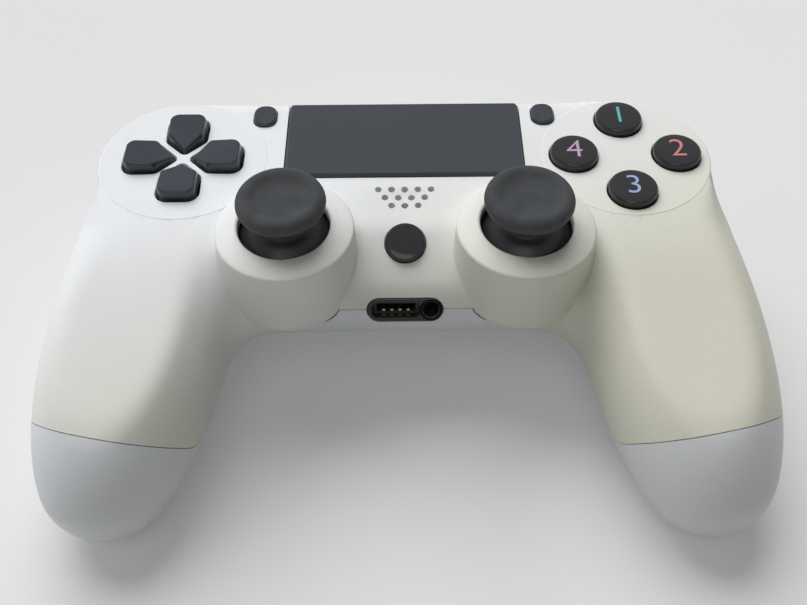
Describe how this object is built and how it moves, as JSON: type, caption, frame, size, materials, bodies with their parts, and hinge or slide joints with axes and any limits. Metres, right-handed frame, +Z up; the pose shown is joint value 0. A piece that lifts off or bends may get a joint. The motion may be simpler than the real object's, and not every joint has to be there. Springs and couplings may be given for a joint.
{
  "type": "game controller",
  "caption": "Two-handed wireless game controller: moulded shell with grips, thumbsticks, direction pad, push buttons, touch surface, bumpers and triggers.",
  "frame": {"origin": "middle of the bounding box, on the table that the controller lies on", "axes": "+X to the player's right, +Y away from the player, +Z up out of the face"},
  "size_m": [0.1592, 0.1043, 0.0535],
  "materials": {
    "shell_ivory": "fine texture",
    "shell_grey": "fine texture",
    "light_diffuser": "satin, translucent",
    "black_gloss": "polished",
    "black_plastic": "fine texture",
    "slate_gloss": "polished",
    "slate_matte": "fine dotted texture",
    "cap_rubber": "matte",
    "silicone": "matte",
    "steel": "satin",
    "gold_plate": "polished",
    "circuit_board": "solder mask",
    "battery_wrap": "satin film"
  },
  "bodies": {
    "housing": {"front_shell": "shell_ivory", "rear_shell": "shell_grey", "light_bar": "light_diffuser", "port_plate": "black_gloss", "expansion_connector": "black_plastic", "expansion_contacts": "gold_plate", "headset_socket": "black_plastic", "charging_socket": "steel", "charging_board": "circuit_board", "main_board": "circuit_board", "inner_frame": "black_plastic", "battery": "battery_wrap", "speaker": "black_plastic", "left_motor": "steel", "right_motor": "steel", "dpad_pad": "silicone", "button_pad": "silicone", "touchpad_switch": "steel", "left_trigger_bracket": "black_plastic", "right_trigger_bracket": "black_plastic", "left_trigger_pin": "steel", "right_trigger_pin": "steel", "left_trigger_spring": "steel", "right_trigger_spring": "steel", "left_stick_module": "steel", "right_stick_module": "steel", "left_stick_spring": "steel", "right_stick_spring": "steel", "shell_screws": "steel"},
    "button_top": {"button_top": "black_gloss"},
    "button_right": {"button_right": "black_gloss"},
    "button_bottom": {"button_bottom": "black_gloss"},
    "button_left": {"button_left": "black_gloss"},
    "left_menu_button": {"left_menu_button": "black_plastic"},
    "right_menu_button": {"right_menu_button": "black_plastic"},
    "home_button": {"home_button": "black_gloss"},
    "touchpad": {"touchpad": "slate_matte"},
    "dpad_pivot": {"dpad_pivot": "steel"},
    "dpad": {"dpad": "slate_gloss"},
    "left_bumper": {"left_bumper": "black_plastic"},
    "left_trigger": {"left_trigger": "black_plastic"},
    "left_stick_carrier": {"left_stick_carrier": "black_plastic"},
    "left_stick_yoke": {"left_stick_yoke": "steel"},
    "left_stick": {"left_stick": "black_gloss", "left_stick_cap": "cap_rubber"},
    "left_motor_weight": {"left_motor_weight": "steel"},
    "right_bumper": {"right_bumper": "black_plastic"},
    "right_trigger": {"right_trigger": "black_plastic"},
    "right_stick_carrier": {"right_stick_carrier": "black_plastic"},
    "right_stick_yoke": {"right_stick_yoke": "steel"},
    "right_stick": {"right_stick": "black_gloss", "right_stick_cap": "cap_rubber"},
    "right_motor_weight": {"right_motor_weight": "steel"}
  },
  "joints": [
    {"name": "button_top_press", "type": "slide", "parent": "housing", "child": "button_top", "axis": [0, 0, -1], "range_m": [0, 0.0015], "stiffness_N_per_m": 450, "springref_m": -0.0012},
    {"name": "button_right_press", "type": "slide", "parent": "housing", "child": "button_right", "axis": [0, 0, -1], "range_m": [0, 0.0015], "stiffness_N_per_m": 450, "springref_m": -0.0012},
    {"name": "button_bottom_press", "type": "slide", "parent": "housing", "child": "button_bottom", "axis": [0, 0, -1], "range_m": [0, 0.0015], "stiffness_N_per_m": 450, "springref_m": -0.0012},
    {"name": "button_left_press", "type": "slide", "parent": "housing", "child": "button_left", "axis": [0, 0, -1], "range_m": [0, 0.0015], "stiffness_N_per_m": 450, "springref_m": -0.0012},
    {"name": "left_menu_button_press", "type": "slide", "parent": "housing", "child": "left_menu_button", "axis": [0, 0, -1], "range_m": [0, 0.0008], "stiffness_N_per_m": 600, "springref_m": -0.0008},
    {"name": "right_menu_button_press", "type": "slide", "parent": "housing", "child": "right_menu_button", "axis": [0, 0, -1], "range_m": [0, 0.0008], "stiffness_N_per_m": 600, "springref_m": -0.0008},
    {"name": "home_button_press", "type": "slide", "parent": "housing", "child": "home_button", "axis": [0, 0.4226, -0.9063], "range_m": [0, 0.0008], "stiffness_N_per_m": 600, "springref_m": -0.0008},
    {"name": "touchpad_press", "type": "hinge", "parent": "housing", "child": "touchpad", "pos_m": [0, 0.0465, 0.0386], "axis": [1, 0, 0], "range_deg": [0, 1.5], "stiffness_Nm_per_rad": 0.5, "springref_deg": -2.86},
    {"name": "dpad_rock_front_back", "type": "hinge", "parent": "housing", "child": "dpad_pivot", "pos_m": [-0.0512, 0.029, 0.0342], "axis": [1, 0, 0], "range_deg": [-3.5, 3.5], "stiffness_Nm_per_rad": 0.25},
    {"name": "dpad_rock_left_right", "type": "hinge", "parent": "dpad_pivot", "child": "dpad", "pos_m": [-0.0512, 0.029, 0.0342], "axis": [0, 1, 0], "range_deg": [-3.5, 3.5], "stiffness_Nm_per_rad": 0.25},
    {"name": "left_bumper_press", "type": "slide", "parent": "housing", "child": "left_bumper", "axis": [0, -1, 0], "range_m": [0, 0.0012], "stiffness_N_per_m": 600, "springref_m": -0.001},
    {"name": "left_trigger_pull", "type": "hinge", "parent": "housing", "child": "left_trigger", "pos_m": [-0.0508, 0.0455, 0.0243], "axis": [-1, 0, 0], "range_deg": [0, 16], "stiffness_Nm_per_rad": 0.05, "springref_deg": -20.05},
    {"name": "left_stick_press", "type": "slide", "parent": "housing", "child": "left_stick_carrier", "axis": [0, 0, -1], "range_m": [0, 0.0005], "stiffness_N_per_m": 4000, "springref_m": -0.0005, "deforming": ["left_stick_spring"]},
    {"name": "left_stick_front_back", "type": "hinge", "parent": "left_stick_carrier", "child": "left_stick_yoke", "pos_m": [-0.0259, 0.0036, 0.0331], "axis": [1, 0, 0], "range_deg": [-14, 14], "stiffness_Nm_per_rad": 0.035},
    {"name": "left_stick_left_right", "type": "hinge", "parent": "left_stick_yoke", "child": "left_stick", "pos_m": [-0.0259, 0.0036, 0.0331], "axis": [0, 1, 0], "range_deg": [-14, 14], "stiffness_Nm_per_rad": 0.035},
    {"name": "left_motor_spin", "type": "hinge", "parent": "housing", "child": "left_motor_weight", "pos_m": [-0.0641, -0.016, 0.018], "axis": [1, 0, 0], "continuous": true},
    {"name": "right_bumper_press", "type": "slide", "parent": "housing", "child": "right_bumper", "axis": [0, -1, 0], "range_m": [0, 0.0012], "stiffness_N_per_m": 600, "springref_m": -0.001},
    {"name": "right_trigger_pull", "type": "hinge", "parent": "housing", "child": "right_trigger", "pos_m": [0.0508, 0.0455, 0.0243], "axis": [-1, 0, 0], "range_deg": [0, 16], "stiffness_Nm_per_rad": 0.05, "springref_deg": -20.05},
    {"name": "right_stick_press", "type": "slide", "parent": "housing", "child": "right_stick_carrier", "axis": [0, 0, -1], "range_m": [0, 0.0005], "stiffness_N_per_m": 4000, "springref_m": -0.0005, "deforming": ["right_stick_spring"]},
    {"name": "right_stick_front_back", "type": "hinge", "parent": "right_stick_carrier", "child": "right_stick_yoke", "pos_m": [0.0259, 0.0036, 0.0331], "axis": [1, 0, 0], "range_deg": [-14, 14], "stiffness_Nm_per_rad": 0.035},
    {"name": "right_stick_left_right", "type": "hinge", "parent": "right_stick_yoke", "child": "right_stick", "pos_m": [0.0259, 0.0036, 0.0331], "axis": [0, 1, 0], "range_deg": [-14, 14], "stiffness_Nm_per_rad": 0.035},
    {"name": "right_motor_spin", "type": "hinge", "parent": "housing", "child": "right_motor_weight", "pos_m": [0.0641, -0.016, 0.018], "axis": [1, 0, 0], "continuous": true}
  ]
}
